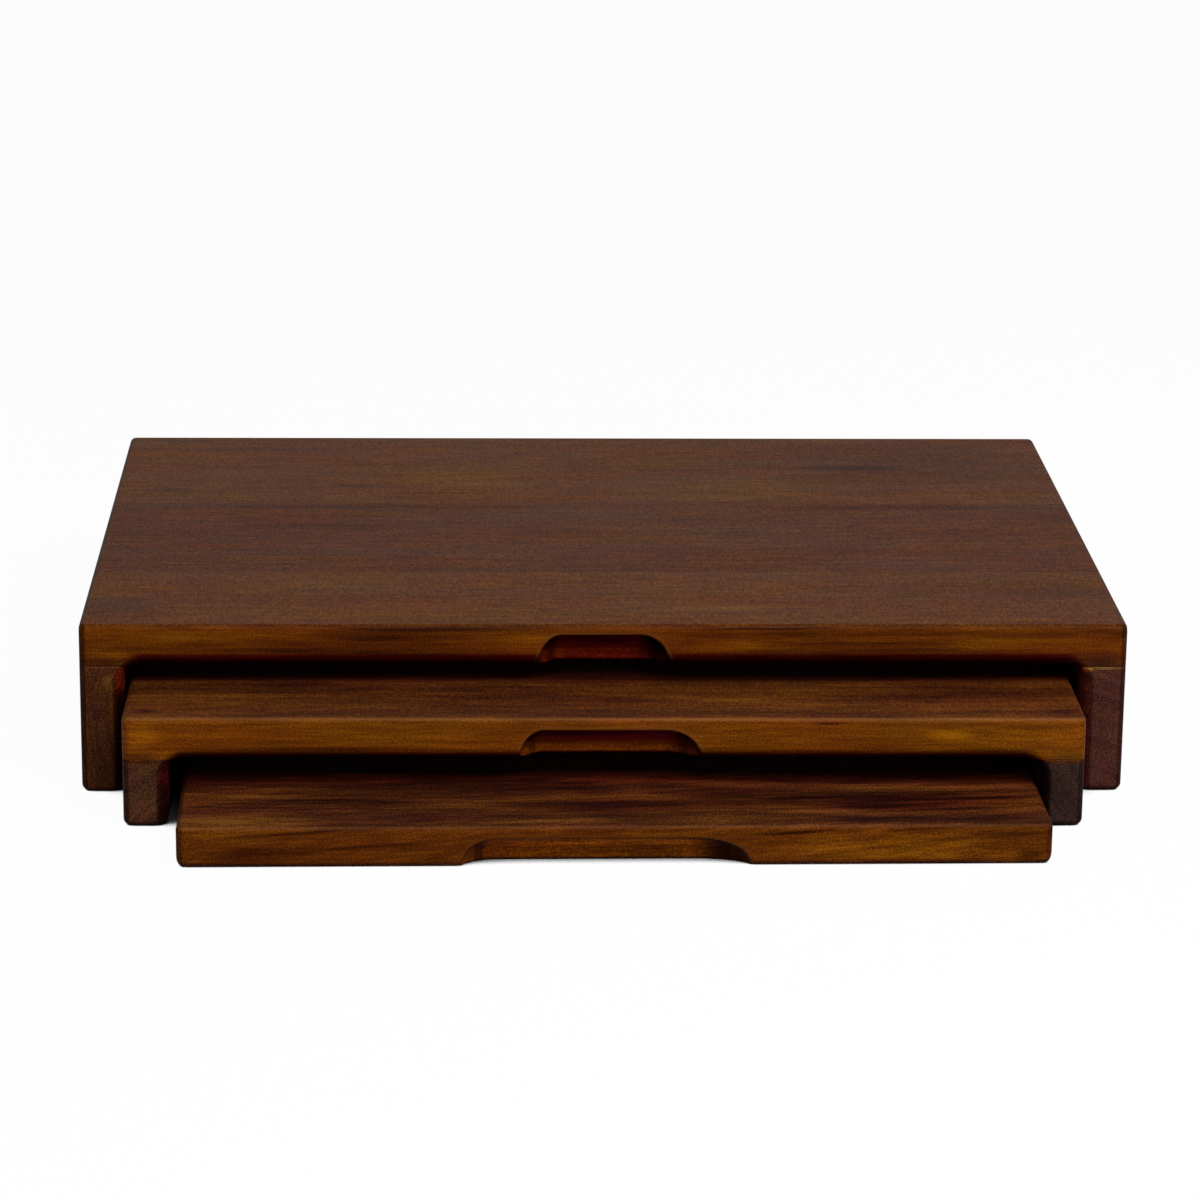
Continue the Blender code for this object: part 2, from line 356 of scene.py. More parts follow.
def scoopRingsAndPaintedLight(tree, colour, look, scoop, wood, height, low):
    inward = wood.y + depth * 500
    aside = wood.x - scoop["shift"] * 1000
    deep, high = scoop["deep"] * 1000, scoop["high"] * 1000
    pastLeft = (aside / -1000 - (scoop["left"] - scoop["leftEnd"])) / scoop["leftEnd"]
    pastRight = (aside / 1000 - (scoop["right"] - scoop["rightEnd"])) / scoop["rightEnd"]
    pastEnd = pastLeft.atLeast(pastRight).atLeast(0)
    size = tree.length(tree.join(inward / deep, height / high, pastEnd))  # 1 on the scoop's wall
    hollow = inward.masked("hollowStart") * size.masked("hollowEnd")
    ceilingPaintedLight = (height / high).masked("ceilingPaintedLight") * (1 - pastEnd.masked("pastEnd") * 0.6)
    # Painted shade on the lower edge beside the scoop
    colour = tree.tint(colour, look["lowEdgePaintedShade"], low * (1 - hollow))
    # Painted light and shade in the scoop: darker and redder in the outer board's and lighter in the inner
    # board's, painted light on its ceiling and left end, and painted shade at its right end
    for tint, share in (
        (look["hollowPaintedLight"], 1),
        (look["ceilingPaintedLight"], ceilingPaintedLight),
        (look["rightEndPaintedShade"], pastRight.masked("rightEndPaintedShade")),
        (look["leftEndPaintedLight"], pastLeft.masked("leftEndPaintedLight")),
    ):
        colour = tree.tint(colour, tint, hollow * share)
    # Where a scoop's end cuts across the rings they show as arcs, and flecks of painted light on its grain
    # show as short dashes
    arcs = tree.noise(tree.join(size * 9, pastEnd * 3, 0), 1.0).masked("arcs") * pastEnd.masked("arcPlace")
    colour = tree.tint(colour, grain["arcTint"], hollow * arcs * grain["arcShare"])
    paintedLightDashes = tree.noise(tree.join(aside * 0.5, inward * 0.5, height), 2.0, 0.6, scale=0.8)
    colour = tree.tint(colour, look["paintedLightDashes"], hollow * paintedLightDashes.masked("paintedLightDashes"))
    # A painted highlight along the rim of the scoop
    rim = abs(size - 1.1).masked("rimSize") * inward.masked("rimFace") * height.masked("rimHeight")
    return tree.mix(colour, (*linear(*look["rim"]), 1), rim * grain["rimHighlightShare"] * (wood.fibres + 0.3))


def legSidePaintedLight(tree, colour, look, wood):  # the side of a leg that looks at the next board
    # Painted shade on the side of a leg that looks at the next board, painted lighter on the outer right leg,
    # and a mottled strip of painted light near its top where light comes in over the board below
    gapLight = look["gapPaintedLight"]
    inside = (wood.normalX * look["inwards"]).masked("inside")
    colour = tree.tint(colour, look["innerFacePaintedLight"], inside)
    gapLit = inside * wood.up.between(gapLight["from"], gapLight["to"]) * wood.ragged.masked("gapLit")
    return tree.tint(colour, gapLight["tint"], gapLit)


def woodMaterial(name, ownLook, board):
    look = {**plainLook, **ownLook}
    material = bpy.data.materials.new(name)
    material.use_nodes = True
    tree = Tree(material.node_tree)
    wood = Wood(tree, look, board)
    normalX, normalY, normalZ = wood.normalX, wood.normalY, wood.normalZ
    tone, warmth = toneAndWarmth(tree, look, wood)
    colours = [linear(*colour) for colour in look["colours"]]
    colour = tree.ramp(tone, list(zip(grain["toneStops"], colours)))
    hue = tree.mix((*grain["rosy"], 1), (*grain["golden"], 1), warmth)
    colour = tree.mix(colour, hue, 1, "MULTIPLY")
    colour = tree.tint(colour, grain["poreTint"], wood.poreMask * look["poreShare"])
    # Painted light: the upright faces are painted brighter and warmer than the tops, for the light that falls
    # on them from the front
    colour = tree.tint(colour, look["uprightPaintedLight"], wood.upright)

    tilt = 1 - abs(normalX).atLeast(abs(normalY)).atLeast(abs(normalZ))  # above 0 on the rounded edges
    # A painted highlight with some wear on the rounded edges that face up and forward, lighter on the middle
    # and inner boards and darker on the outer board
    wearAndHighlight = tilt.masked("wearHighlightTilt") * normalZ.masked("wearHighlightUp") * (normalY * -1).masked("wearHighlightFront")
    wearAndHighlightShare = (wearAndHighlight * look["wearAndHighlightShare"] * (wood.clouds * 1.6 + 0.2)).atMost(1)
    colour = tree.mix(colour, (*linear(*look["wearAndHighlight"]), 1), wearAndHighlightShare)
    # The rounded edges that face sideways or back are darker
    sideEdgeDark = tilt.masked("sideEdgeDarkTilt") * abs(normalX).atLeast(normalY).masked("sideEdgeDarkFacing")
    colour = tree.tint(colour, grain["sideEdgeDarkTint"], sideEdgeDark * look["sideEdgeDarkShare"])
    # Painted shade on the faces that look down
    colour = tree.tint(colour, look["undersidePaintedShade"], (normalZ * -1).masked("under"))

    if look["grainAlong"] == "x":
        colour = paintedEdgeAndCoverShade(tree, colour, look, board, wood)
    else:
        colour = legSidePaintedLight(tree, colour, look, wood)
    # Patches: painted shade and painted highlights near the seams of boards and legs, and tone on the inner
    # board's top
    for spot, size, tint, full in look["patches"]:
        colour = tree.tint(colour, tint, tree.near(wood.place, spot, size, full, grain["patchEnd"]))
    for joint in look["joints"]:  # the thin dark line of glue between two staves
        line = abs(wood.y - joint).masked("glue")
        colour = tree.tint(colour, grain["glueTint"], line * grain["glueShare"])

    shader = material.node_tree.nodes["Principled BSDF"]
    roughness = grain["roughness"] + (wood.clouds - 0.5) * 0.2 + wood.poreMask * 0.15 - wearAndHighlight * 0.06
    relief = wood.fibres * 0.6 - wood.poreMask * 0.8 + wood.rings * 0.4
    bumpInputs = {"Strength": grain["bumpStrength"], "Distance": grain["bump"], "Height": relief}
    tree.plug(shader.inputs["Base Color"], colour)
    tree.plug(shader.inputs["Roughness"], roughness)
    tree.plug(shader.inputs["Specular IOR Level"], look["specular"])
    tree.plug(shader.inputs["Normal"], tree.node("ShaderNodeBump", inputs=bumpInputs))
    return material


# The boards, with lengths in metres

depth = 0.330
legThickness = 0.019
stavePlaces = ("front", "centre", "back")
staveSockets = ("Front stave", "Centre stave", "Back stave")
edges = {
    "corner": 0.0035,
    "top": 0.0024,
    "foot": 0.003,
    "mouth": 0.006,
    "mouthCorner": 0.008,
    "rim": 0.0012,
    "lowRim": 0.0035,
    "lowRimHeight": 0.005,
    "seam": 0.0003,
}
pins = {  # the hidden dowels and their holes
    "radius": 0.004,
    "inLeg": 0.019,
    "woodOver": 0.008,
    "chamfer": 0.001,
    "flutes": 12,
    "fluteDepth": 0.0004,
    "holeRadius": 0.0042,
    "holeSides": 32,
    "cutBelow": 0.01,
    "endRoom": 0.0003,
}
sections = {  # how finely the staves' outlines are cut
    "plainSteps": 15,
    "mouthSteps": 21,
    "beforeEnd": 0.006,
    "pastMouth": 0.0045,
    "pastRounding": 0.0003,
    "leastStep": 0.0002,
    "besideJoint": (0.0004, 0.0015),
    "lowerEdge": (0.014, 0.0148),  # inward and up, from where its rays are cast
    "nearEdge": 0.0195,
    "setBack": 0.006,
    "rays": 104,
    "strides": 70,
    "stride": 0.8,
    "edgeSteps": 10,
    "scoopEndSteps": 26,
    "pastScoop": (0.0003, 0.0007, 0.0012, 0.002),
    "closest": 0.00002,
}

boards = {
    "outer": {
        "turn": 0, "width": 0.457, "shown": 0, "bottom": 0.0572, "top": 0.0762,
        "joints": (0.255, 0.612), "legs": True,
        "scoop": {
            "left": 0.029, "leftEnd": 0.0105, "right": 0.028, "rightEnd": 0.0125,
            "deep": 0.008, "high": 0.0142, "shift": 0,
        },
    },
    "middle": {
        "turn": -0.0029697, "width": 0.412, "shown": 0.0466, "bottom": 0.030, "top": 0.049,
        "joints": (0.330, 0.700), "legs": True,
        "scoop": {
            "left": 0.039, "leftEnd": 0.0105, "right": 0.0385, "rightEnd": 0.015,
            "deep": 0.008, "high": 0.013, "shift": 0.0025,
        },
    },
    "inner": {
        "turn": 0.0095456, "width": 0.367, "shown": 0.050, "bottom": 0, "top": 0.018,
        "joints": (0.290, 0.640), "legs": False,
        "scoop": {
            "left": 0.0605, "leftEnd": 0.014, "right": 0.0605, "rightEnd": 0.022,
            "deep": 0.008, "high": 0.012, "shift": -0.004,
        },
    },
}
for boardName, board in boards.items():
    corners = [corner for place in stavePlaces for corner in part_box(f"{boardName}_stave_{place}")]
    lows = [min(corner[axis] for corner in corners) for axis in (0, 1)]
    highs = [max(corner[axis] for corner in corners) for axis in (0, 1)]
    board["centre"] = ((lows[0] + highs[0]) / 2, (lows[1] + highs[1]) / 2)
    board["toRow"] = Matrix.Translation((*board["centre"], 0)) @ Matrix.Rotation(board["turn"], 4, "Z")
    board["cuts"] = [-depth / 2] + [(share - 0.5) * depth for share in board["joints"]] + [depth / 2]
    middles = [(front + back) / 2 for front, back in zip(board["cuts"], board["cuts"][1:])]
    board["staveMiddles"] = dict(zip(staveSockets, middles))
    board["legMiddle"] = (board["width"] - legThickness) / 2
    board["body"] = boardName + "_board"


def inset(radius, fromEnd):  # how far a rounded edge stands in, this far from its end
    fromEnd = np.clip(fromEnd, 0, radius)
    return radius - np.sqrt(np.maximum(radius ** 2 - (radius - fromEnd) ** 2, 0))


def softMax(first, second, width):
    near = np.maximum(width - np.abs(first - second), 0) / width
    return np.maximum(first, second) + near ** 2 * width / 4


def roundedCorner(first, second, radius):  # below 0 where both are above 0, past a rounding
    a, b = radius - first, radius - second
    return np.hypot(np.maximum(a, 0), np.maximum(b, 0)) + np.minimum(np.maximum(a, b), 0) - radius


def outsideWood(board, x, inward, height, withScoop):
    # Above 0 in the air and below 0 in the wood, near a board's lower long edge. Inward is counted
    # from its front or back face, and height from its underside.
    if board["legs"]:
        half = board["width"] / 2 - legThickness
        radius = edges["mouthCorner"]
        sideways = np.abs(x) - (half - radius)
        fromMouth = np.where(sideways > 0, np.hypot(sideways, height + radius) - radius, height)
        value = roundedCorner(inward, fromMouth, edges["mouth"])
        value = np.maximum(value, roundedCorner(inward, height, edges["seam"]))
    else:
        value = roundedCorner(inward, height, edges["foot"])
    if withScoop:
        scoop = board["scoop"]
        aside = x - scoop["shift"]
        half = np.where(aside < 0, scoop["left"], scoop["right"])
        end = np.where(aside < 0, scoop["leftEnd"], scoop["rightEnd"])
        pastEnd = np.maximum(np.abs(aside) - (half - end), 0)
        a, b, c = inward / scoop["deep"], height / scoop["high"], pastEnd / end
        size = np.sqrt(a ** 2 + b ** 2 + c ** 2) + 1e-9
        slope = np.sqrt((a / scoop["deep"]) ** 2 + (b / scoop["high"]) ** 2 + (c / end) ** 2) / size + 1e-9
        low = np.clip(1 - height / edges["lowRimHeight"], 0, 1) * np.clip(1.1 - 1.6 * c, 0, 1)
        width = edges["rim"] + (edges["lowRim"] - edges["rim"]) * low
        value = softMax(value, (1 - size) / slope, width)
    return value


def quarterTurn(radius, steps):  # places along a rounding, closer together towards its end
    return {radius * sin(step / steps * pi / 2) for step in range(steps + 1)}


def stations(board, withScoop):  # where a stave is cut across, along X
    half = board["width"] / 2
    beforeCorner = half - edges["corner"]
    places = set(np.linspace(0, half - sections["beforeEnd"], sections["plainSteps"]))
    places |= {beforeCorner - sections["pastRounding"]}
    places |= {beforeCorner + place for place in quarterTurn(edges["corner"], sections["edgeSteps"])}
    if board["legs"]:
        inner = half - legThickness
        ends = (inner - edges["mouthCorner"], inner + sections["pastMouth"])
        places |= set(np.linspace(*ends, sections["mouthSteps"]))
    places |= {-place for place in places}
    if withScoop:
        scoop = board["scoop"]
        for way, side in ((-1, "left"), (1, "right")):
            reach, end = scoop[side], scoop[side + "End"]
            ends = {reach - end + place for place in quarterTurn(end, sections["scoopEndSteps"])}
            ends |= {reach + extra for extra in sections["pastScoop"]}
            places |= {scoop["shift"] + way * place for place in ends}
    places = np.array(sorted(places))
    return places[np.append(True, np.diff(places) > sections["closest"])]


def roundedEnds(board, x):  # the top and the underside, where they curve down and up at a board's ends
    end = board["width"] / 2 - np.abs(x)
    top = board["top"] - inset(edges["top"], end)
    bottom = board["bottom"] + (0 if board["legs"] else 1) * inset(edges["foot"], end)
    return top, bottom


def asGrids(columns):  # sideways and up, each with a row for every station
    return [np.array(part).T for part in zip(*columns)]


def longSide(board, x, joint, withScoop):
    # The outline of a stave cut across, from its joint along the underside, up the outer face and
    # back along the top. Joint is how far in from the outer face the stave ends.
    face = inset(edges["corner"], board["width"] / 2 - np.abs(x))
    top, bottom = roundedEnds(board, x)
    ones = np.ones_like(x)
    close, near = sections["besideJoint"]
    edgeInward, edgeUp = sections["lowerEdge"]
    setBack, past = sections["setBack"], sections["pastRounding"]
    columns = []
    for inward in (joint, joint - close, joint - near, (joint + edgeInward) / 2, sections["nearEdge"]):
        columns.append((inward * ones, bottom * ones))
    firstAngle = np.arctan2(setBack, edgeInward + setBack)
    lastAngle = np.arctan2(edgeUp + setBack, setBack)
    for angle in np.linspace(firstAngle, lastAngle, sections["rays"]):
        reach = np.zeros_like(x)
        for stride in range(sections["strides"]):
            inward = reach * cos(angle) - setBack
            height = reach * sin(angle) - setBack
            reach = reach + sections["stride"] * outsideWood(board, x, inward, height, withScoop)
        columns.append((face + reach * cos(angle) - setBack, bottom + reach * sin(angle) - setBack))
    columns.append((face, top - edges["top"] - past))
    for step in range(sections["edgeSteps"] + 1):
        angle = step / sections["edgeSteps"] * pi / 2
        columns.append((face + edges["top"] * (1 - cos(angle)), top - edges["top"] * (1 - sin(angle))))
    for inward in (edges["top"] + past, joint / 3, joint * 2 / 3, joint - near, joint - close, joint):
        columns.append((np.maximum(inward, face + edges["top"] + sections["leastStep"]), top))
    return asGrids(columns)


def middleStrip(board, x, front, back):  # the same for a stave with a joint on both sides
    top, bottom = roundedEnds(board, x)
    ones = np.ones_like(x)
    close, near = sections["besideJoint"]
    places = (front, front + close, front + near, (front + back) / 2, back - near, back - close, back)
    columns = [(place * ones, bottom * ones) for place in places]
    columns += [(place * ones, top) for place in reversed(places)]
    return asGrids(columns)


def newItem(name, mesh):  # an object in the scene from a bmesh, which is used up
    data = bpy.data.meshes.new(name)
    mesh.to_mesh(data)
    mesh.free()
    item = bpy.data.objects.new(name, data)
    scene.collection.objects.link(item)
    return item


def loftAlongX(name, x, y, z):
    mesh = bmesh.new()
    rings = [[mesh.verts.new((x[i], y[i, j], z[i, j])) for j in range(y.shape[1])] for i in range(len(x))]
    for ring, following in zip(rings, rings[1:]):
        for j in range(len(ring)):
            k = (j + 1) % len(ring)
            mesh.faces.new((ring[j], ring[k], following[k], following[j]))
    mesh.faces.new(rings[0])
    mesh.faces.new(rings[-1])
    bmesh.ops.recalc_face_normals(mesh, faces=mesh.faces)
    return newItem(name, mesh)


def pinCutter(board, places):
    top = board["top"] - pins["woodOver"] + pins["endRoom"]
    bottom = board["bottom"] - pins["cutBelow"]
    bar = {"cap_ends": True, "segments": pins["holeSides"], "depth": top - bottom}
    bar["radius1"] = bar["radius2"] = pins["holeRadius"]
    mesh = bmesh.new()
    for x, y in places:
        made = bmesh.ops.create_cone(mesh, **bar)
        bmesh.ops.translate(mesh, verts=made["verts"], vec=(x, y, (top + bottom) / 2))
    return newItem("pinHoles", mesh)


def evaluated(item):  # the item's shape with its modifiers made real
    graph = bpy.context.evaluated_depsgraph_get()
    shape = bpy.data.meshes.new_from_object(item.evaluated_get(graph))
    item.modifiers.clear()
    item.data = shape


shading = {"sharpAngle": 38, "normalWeight": 80}


def finishPiece(item, board, material, slot, *nodes):
    item.data.transform(board["toRow"])
    item.data.materials.clear()
    item.data.materials.append(material)
    item.data.shade_smooth()
    item.data.set_sharp_from_angle(angle=radians(shading["sharpAngle"]))
    normals = item.modifiers.new("Normals", "WEIGHTED_NORMAL")
    normals.keep_sharp = True
    normals.weight = shading["normalWeight"]
    evaluated(item)
    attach(item, board["body"])
    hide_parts(*nodes)


# Colours are as a paint program gives them, tints multiply them, and lengths are in mm

# Painted light and shade in these looks: the upright tint lights the faces, the worn colour is a painted
# highlight with some wear on the upper front edge, the low, covered and under tints are painted shade, and
# the scoop's hollow, ceiling, end, dash and rim colours are painted light and shade
timber = {
    "outer": {
        "colours": ((34, 14, 5), (69, 33, 8), (88, 47, 10), (108, 62, 16)),
        "uprightPaintedLight": (1.22, 0.97, 0.26),
        "topContrast": 0.4,
        "frontContrast": 1.5,
        "speckleShare": 0.85,
        "wearAndHighlight": (66, 27, 4),
        "wearAndHighlightShare": 0.35,
        "specular": 0.023,
        "lowEdge": (5.0, 7.1),
        "lowEdgePaintedShade": (0.42, 0.07, 0.2),
        "hollowPaintedLight": (0.8, 0.28, 1.1),
        "ceilingPaintedLight": (1.3, 0.35, 3.0),
        "rightEndPaintedShade": (0.45, 0.5, 0.8),
        "leftEndPaintedLight": (1.4, 2.0, 1.0),
        "paintedLightDashes": (1.8, 1.25, 3.5),
        "rim": (96, 56, 24),
    },
    "middle": {
        "colours": ((37, 12, 5), (68, 32, 9), (88, 46, 11), (108, 62, 16)),
        "uprightPaintedLight": (1.97, 1.88, 0.25),
        "topContrast": 1.5,
        "frontContrast": 0.7,
        "speckleShare": 0.8,
        "sideEdgeDarkShare": 0.15,
        "wearAndHighlight": (124, 76, 34),
        "wearAndHighlightShare": 0.45,
        "specular": 0.032,
        "coveredPaintedShade": (0.45, 0.24, 0.36),
        "lowEdge": (1.1, 3.4),
        "lowEdgePaintedShade": (0.6, 0.14, 0.35),
        "hollowPaintedLight": (1.0, 0.74, 1.6),
        "ceilingPaintedLight": (2.2, 0.5, 9.0),
        "rightEndPaintedShade": (0.6, 0.5, 0.8),
        "leftEndPaintedLight": (0.95, 1.1, 1.0),
        "paintedLightDashes": (1.3, 1.25, 1.2),
        "rim": (110, 66, 26),
    },
    "inner": {
        "colours": ((24, 6, 4), (56, 24, 9), (80, 40, 13), (106, 60, 22)),
        "uprightPaintedLight": (1.75, 1.7, 0.4),
        "topContrast": 1.9,
        "frontContrast": 0.66,
        "speckleShare": 0.75,
        "sideEdgeDarkShare": 0.5,
        "wearAndHighlight": (104, 62, 32),
        "wearAndHighlightShare": 0.35,
        "specular": 0.014,
        "coveredPaintedShade": (0.8, 0.46, 0.56),
        "lowEdge": (0.2, 2.6),
        "lowEdgePaintedShade": (0.6, 0.35, 0.4),
        "undersidePaintedShade": (0.9, 0.85, 0.9),
        "hollowPaintedLight": (1.25, 1.22, 0.5),
        "ceilingPaintedLight": (2.2, 2.1, 1.6),
        "rightEndPaintedShade": (0.25, 0.18, 0.25),
        "leftEndPaintedLight": (1.0, 1.0, 0.8),
        "paintedLightDashes": (1.15, 1.15, 1.0),
        "rim": (84, 42, 10),
    },
}

# A mark is where, how large, how much lighter and how much warmer. A patch is where, how large, its tint
# and the share of it that has the full tint.

staveLooks = {
    "outer_stave_front": {
        "seed": 1.7,
        "pith": (-20, -420),
        "tone": 0.52,
        "marks": (
            ((-71, -165, 74.2), (52, 7, 1.6), -0.25, 0),
            ((-98, -165, 70.5), (26, 4, 3), -0.2, -0.3),
            ((70, -165, 74.6), (44, 3, 0.7), -0.4, 0),
            ((-150, -165, 71), (60, 5, 4), 0.1, 0.3),
            ((60, -165, 66.5), (32, 5, 3), 0.14, 0.3),
            ((165, -165, 68), (40, 5, 4), 0.16, 0.3),
            ((-145, -165, 64.8), (36, 5, 1.8), -0.22, -0.3),
            ((196, -165, 72), (16, 4, 2.5), -0.15, 0),
            ((58, -138, 76), (32, 7, 4), 0.12, 0.6),
            ((-128, -98, 76), (38, 14, 4), 0.05, 0.5),
            ((-215, -140, 76), (30, 22, 4), -0.12, 0),
            ((13, -78, 76), (115, 4.5, 4), -0.14, 0),
            ((200, -115, 76), (40, 9, 4), -0.12, -0.2),
            ((170, -110, 76), (90, 50, 4), -0.06, -0.1),
            ((75, -165, 68), (34, 5, 7), 0.1, 0.2),
            ((-216, -165, 64.5), (13, 4, 4), 0.2, 0.3),
            ((-85, -165, 68), (70, 5, 10), -0.1, -0.2),
        ),
        "patches": (
            # Painted shade on the lower edge over each leg, deepening towards the seam
            ((217, -165, 57.2), (17, 8, 8.5), (0.28, 0.36, 2.8), 0.1),
            ((-218, -165, 57.2), (16, 8, 6.5), (0.5, 0.5, 1.2), 0.1),
        ),
    },
    "outer_stave_centre": {
        "seed": 4.2,
        "pith": (60, 300),
        "tone": 0.44,
        "warmth": 0,
        "marks": (
            ((-120, 31, 76), (130, 6, 4), -0.16, -0.3),
            ((150, 30, 76), (110, 6, 4), -0.16, -0.3),
            ((-133, -4, 76), (64, 4, 4), -0.16, 0),
            ((-40, -78, 76), (90, 4, 4), -0.12, 0),
            ((0, -20, 76), (140, 9, 4), 0.05, 0.2),
        ),
    },
    "outer_stave_back": {
        "seed": 8.9,
        "pith": (120, -160),
        "tone": 0.53,
        "marks": (
            ((-62, 85, 76), (40, 28, 4), 0.12, 0.8),
            ((65, 62, 76), (62, 26, 4), 0.04, 0.6),
            ((125, 102, 76), (46, 8, 4), -0.22, -0.4),
            ((160, 110, 76), (110, 60, 4), -0.13, -0.1),
            ((-111, 70, 76), (13, 5, 4), -0.24, -0.2),
            ((-160, 138, 76), (62, 6, 4), -0.12, 0),
            ((-205, 60, 76), (26, 6, 4), -0.14, 0),
        ),
    },
    "middle_stave_front": {
        "seed": 12.4,
        "pith": (-10, -500),
        "tone": 0.52,
        "marks": (
            ((-198, -165, 41), (12, 6, 7), 0.2, 0.3),
            ((-106, -165, 35), (65, 5, 1.8), -0.22, -0.3),
            ((96, -165, 46.6), (10, 3, 0.9), -0.35, 0),
            ((149, -165, 41.5), (13, 5, 3.6), 0.22, 0.4),
            ((184, -165, 45), (22, 4, 1.6), -0.18, 0),
            ((-139, -118, 49), (42, 6, 3), -0.18, -0.2),
            ((-45, -134, 49), (46, 8, 3), -0.14, 0),
            ((-194, -155, 49), (6, 4, 3), -0.4, 0),
            ((199, -156, 49), (9, 4, 3), -0.2, 0),
            ((150, -135, 49), (70, 16, 3), -0.14, -0.2),
            ((-130, -155, 49), (60, 6, 2), -0.08, -0.4),
        ),
        "patches": (
            # Painted shade on the lower edge over each leg, deepening towards the seam
            ((-199, -165, 30), (15, 8, 5.5), (0.45, 0.45, 1.7), 0.1),
            ((199, -165, 30), (15, 8, 5.5), (0.45, 0.5, 2.6), 0.1),
        ),
    },
    "middle_stave_centre": {"seed": 15.1, "pith": (40, 260), "tone": 0.44},
    "middle_stave_back": {"seed": 18.8, "pith": (90, -220)},
    "inner_stave_front": {
        "seed": 21.3,
        "pith": (30, -300),
        "tone": 0.48,
        "drift": 0.073,
        "rise": 0.06,
        "marks": (
            ((-133, -143, 18), (62, 10, 4), 0.0, -0.4),
            ((-150, -155, 18), (50, 10, 4), 0.22, 0.5),
            ((-160, -128, 18), (40, 6, 4), 0.14, 0.4),
            ((-140, -165, 6), (50, 4, 6), -0.2, -0.5),
            ((-120, -131, 18), (66, 2.6, 4), -0.1, -0.2),
            ((80, -151, 18), (92, 9, 4), 0.1, 0.1),
            ((130, -136, 18), (80, 13, 4), -0.22, -0.7),
            ((112, -141, 18), (46, 3.4, 4), -0.34, -0.4),
            ((152, -132, 18), (44, 3, 4), -0.4, -0.4),
            ((84, -130, 18), (30, 2.6, 4), -0.36, -0.3),
            ((148, -145, 18), (30, 2.4, 4), -0.3, -0.3),
            ((45, -122, 18), (50, 10, 4), -0.2, -0.4),
            ((0, -140, 18), (66, 12, 4), -0.32, -0.45),
            ((-25, -158, 18), (38, 3, 4), 0.2, 0.3),
            ((-128, -165, 15.5), (56, 3, 1.2), -0.28, 0),
            ((-105, -165, 9), (28, 3, 1.2), -0.2, 0),
            ((77, -165, 14.8), (24, 3, 1.1), -0.36, 0),
            ((137, -165, 16.6), (42, 3, 0.9), -0.2, 0),
            ((83, -165, 8), (26, 4, 6), 0.12, 0.2),
            ((115, -165, 9), (80, 4, 12), 0.13, 0.3),
            ((140, -165, 8), (34, 4, 6), 0.08, 0.1),
            ((177, -165, 4), (8, 4, 4), -0.22, 0),
        ),
        "patches": (
            ((130, -137, 18), (85, 16, 4), (0.97, 0.78, 0.66), 0.2),
            ((10, -138, 18), (80, 16, 4), (0.92, 0.87, 0.8), 0.2),
            ((-135, -142, 18), (65, 24, 4), (1.12, 1.22, 1.08), 0.2),
        ),
    },
    "inner_stave_centre": {"seed": 25.6, "pith": (-40, 340), "tone": 0.47, "topContrast": 1.5},
    "inner_stave_back": {"seed": 28.2, "pith": (110, -240), "tone": 0.46, "topContrast": 1.5},
}

plainStave = {
    "grainAlong": "x",
    "ringWidth": 5.0,
    "wobble": 9,
    "ringShare": 0.7,
    "fibreShare": 0.6,
    "streakShare": 0.45,
    "cloudShare": 0.45,
}

for boardName, board in boards.items():
    cuts = board["cuts"]
    for place, front, back in zip(stavePlaces, cuts, cuts[1:]):
        name = f"{boardName}_stave_{place}"
        withScoop = place == "front"
        x = stations(board, withScoop)
        if place == "centre":
            y, z = middleStrip(board, x, front, back)
        else:
            inward, z = longSide(board, x, back - front, withScoop)
            y = front + inward if place == "front" else back - inward
        item = loftAlongX(name + "_wood", x, y, z)
        if board["legs"]:
            holes = pinCutter(board, [(side * board["legMiddle"], (front + back) / 2) for side in (-1, 1)])
            cut = item.modifiers.new("Holes", "BOOLEAN")
            cut.operation = "DIFFERENCE"
            cut.solver = "EXACT"
            cut.object = holes
            evaluated(item)
            bpy.data.objects.remove(holes, do_unlink=True)
        look = {
            **plainStave,
            "scooped": withScoop,
            "joints": [joint * 1000 for joint in (front, back) if joint not in (cuts[0], cuts[-1])],
            **timber[boardName],
            **staveLooks[name],
        }
        material = woodMaterial(name + "_oiled", look, board)
        finishPiece(item, board, material, board["body"] + "_wood", name)
    print(boardName, "board built")


# The legs: a rule in Geometry Nodes, from the foot's rounding up to the joint under the board

def newTree(name, lengths, others):
    group = bpy.data.node_groups.new(name, "GeometryNodeTree")
    group.interface.new_socket("Geometry", in_out="OUTPUT", socket_type="NodeSocketGeometry")
    sockets = {**{label: "Float" for label in lengths}, **others}
    for label, kind in sockets.items():
        group.interface.new_socket(label, in_out="INPUT", socket_type="NodeSocket" + kind)
    tree = Tree(group)
    given = tree.node("NodeGroupInput").socket.node.outputs
    return group, tree, {label: Wire(tree, given[label]) for label in sockets}


def closeTree(tree, shape, wood):
    real = tree.grow("RealizeInstances", {"Geometry": shape})
    painted = tree.grow("SetMaterial", {"Geometry": real, "Material": wood})
    tree.finish("NodeGroupOutput", "Geometry", painted)


def staveMiddle(given, stave):  # along Y, by a wire that is 0, 1 or 2 from the front to the back
    front, centre, back = (given[label] for label in staveSockets)
    return centre + (front - centre) * stave.below(0.5) + (back - centre) * stave.above(1.5)


legSteps = {"around": 16, "foot": 8, "straight": 2, "corner": 14, "seam": 3, "weld": 0.000001}


